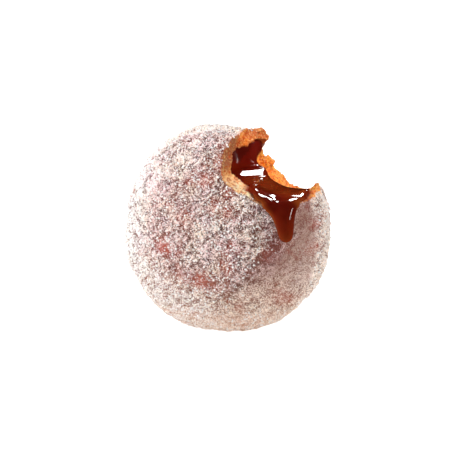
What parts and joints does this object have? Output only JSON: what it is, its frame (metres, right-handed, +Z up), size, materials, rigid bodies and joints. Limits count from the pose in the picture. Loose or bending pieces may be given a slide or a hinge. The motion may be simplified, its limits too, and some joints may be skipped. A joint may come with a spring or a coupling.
{
  "type": "filled doughnut",
  "caption": "Round sugar-dusted doughnut with a bite taken out, showing torn crumb and a chocolate filling that drips over the rim.",
  "frame": {"origin": "middle of the flat underside on which the doughnut stands", "axes": "+Z up, -Y out of the front face the drip runs down, +X towards the side with the bite; the bun's thickness runs along Y"},
  "size_m": [0.083, 0.058, 0.0795],
  "materials": {
    "sugared_crust": "fried dough skin dusted with white sugar, matte and grainy",
    "chocolate": "wet glossy dark chocolate cream"
  },
  "bodies": {
    "root": {"dough": "sugared_crust", "chocolate_filling": "chocolate"}
  },
  "joints": []
}
